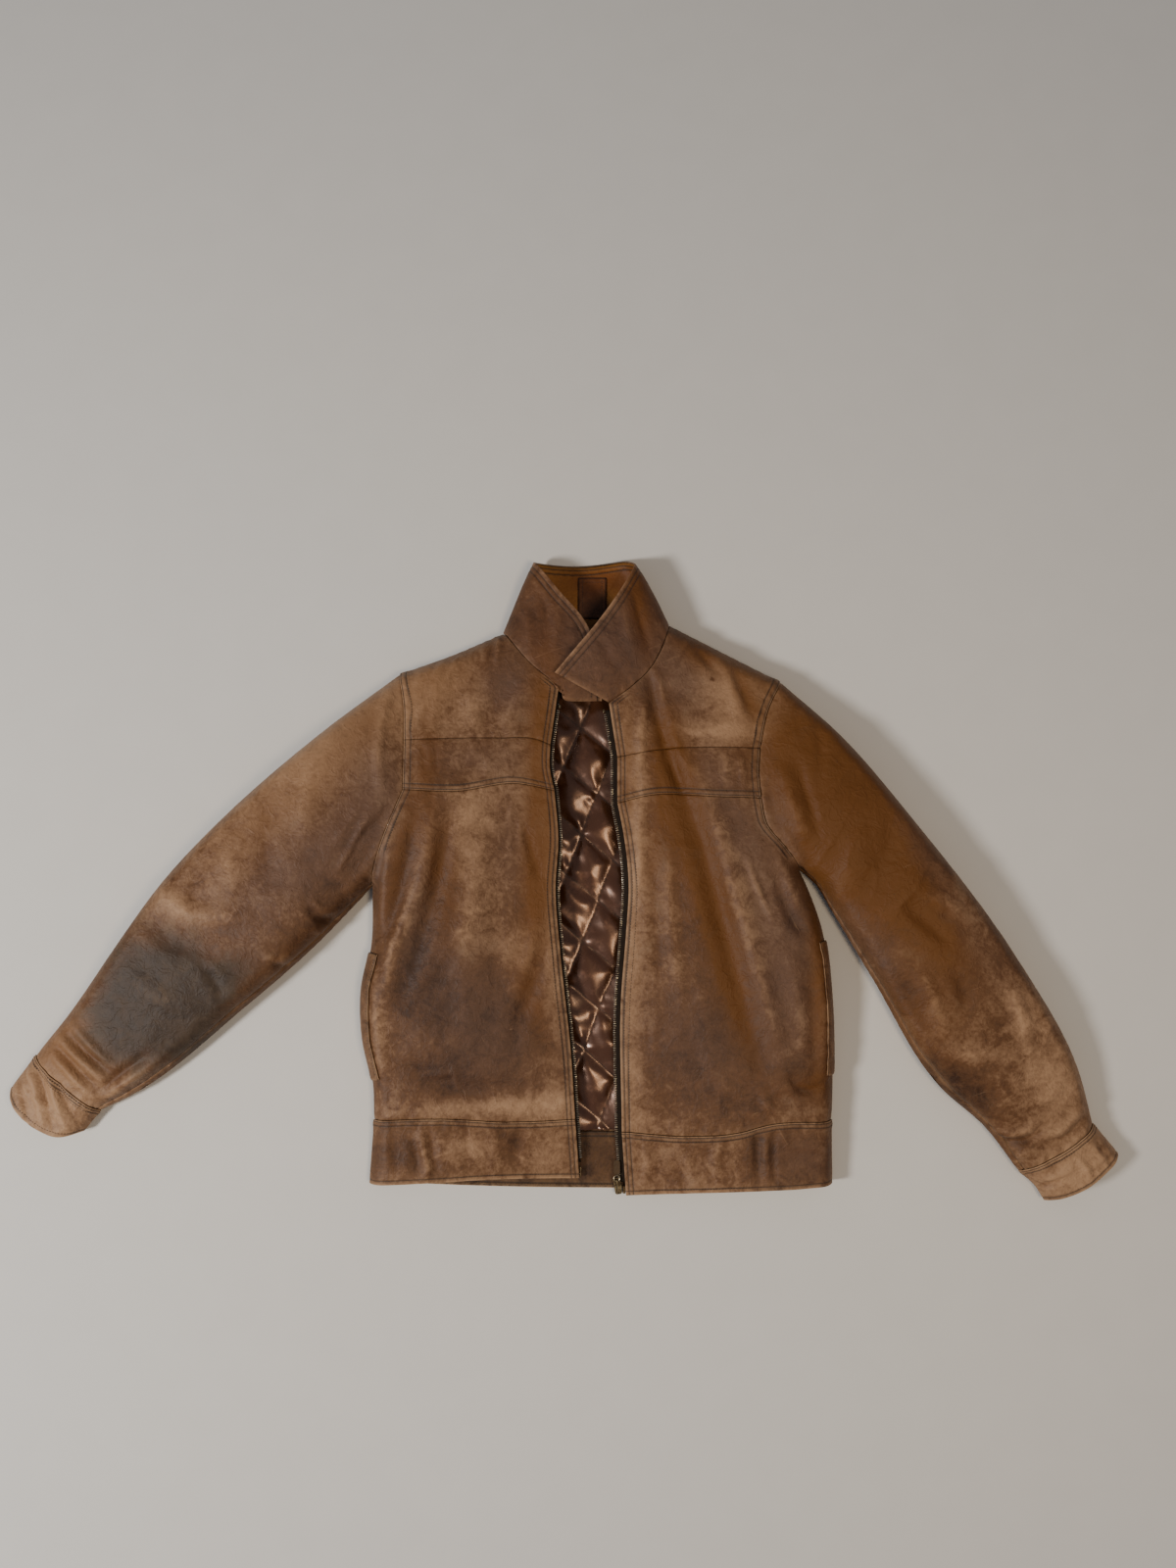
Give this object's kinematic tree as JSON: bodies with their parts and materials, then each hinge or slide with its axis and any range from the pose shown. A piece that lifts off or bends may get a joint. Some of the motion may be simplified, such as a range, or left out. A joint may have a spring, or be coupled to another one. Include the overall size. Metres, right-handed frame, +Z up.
{
  "type": "worn leather jacket",
  "caption": "Worn brown leather jacket laid flat on its back, front a little open over a quilted satin lining, with collar, cuffs, waistband, side pockets and a zip.",
  "frame": {"origin": "on the underside of the back panel, near the middle of the body, where the jacket rests", "axes": "+X from the left sleeve to the right sleeve as seen from above, +Y from the hem to the collar, +Z up"},
  "size_m": [1.3196, 0.7722, 0.0627],
  "materials": {
    "leather": "creased cowhide, mottled brown, rubbed paler on ridges and seams",
    "leather_pale": "leather worn pale tan",
    "leather_dark": "darker, slightly glossier leather",
    "satin": "shiny dark brown quilted satin",
    "tape": "matt woven dark zip tape",
    "brass": "dull aged brass",
    "thread": "dark brown sewing thread"
  },
  "bodies": {
    "jacket": {"back": "leather", "waistband_back": "leather", "yoke_left": "leather", "yoke_right": "leather", "chest_band_left": "leather", "chest_band_right": "leather", "front_left": "leather", "front_right": "leather", "waistband_left": "leather", "waistband_right": "leather", "sleeve_top_left": "leather", "sleeve_top_right": "leather", "sleeve_under_left": "leather", "sleeve_under_right": "leather", "pocket_welt_left": "leather", "pocket_welt_right": "leather", "cuff_left": "leather_pale", "cuff_right": "leather_pale", "collar": "leather_dark", "neck_patch": "leather_dark", "lining_back": "satin", "zip_tape_left": "tape", "zip_tape_right": "tape", "zip_stop_left": "brass", "zip_stop_right": "brass", "zip_pin": "brass", "zip_box": "brass", "zip_slider": "brass"},
    "zip_pull": {"zip_pull_ring": "brass", "zip_pull_tab": "leather_dark"}
  },
  "joints": [
    {"name": "zip_pull_swing", "type": "hinge", "parent": "jacket", "child": "zip_pull", "pos_m": [0.06423, -0.3584, 0.01087], "axis": [1, 0, 0], "range_deg": [0, 145]}
  ]
}
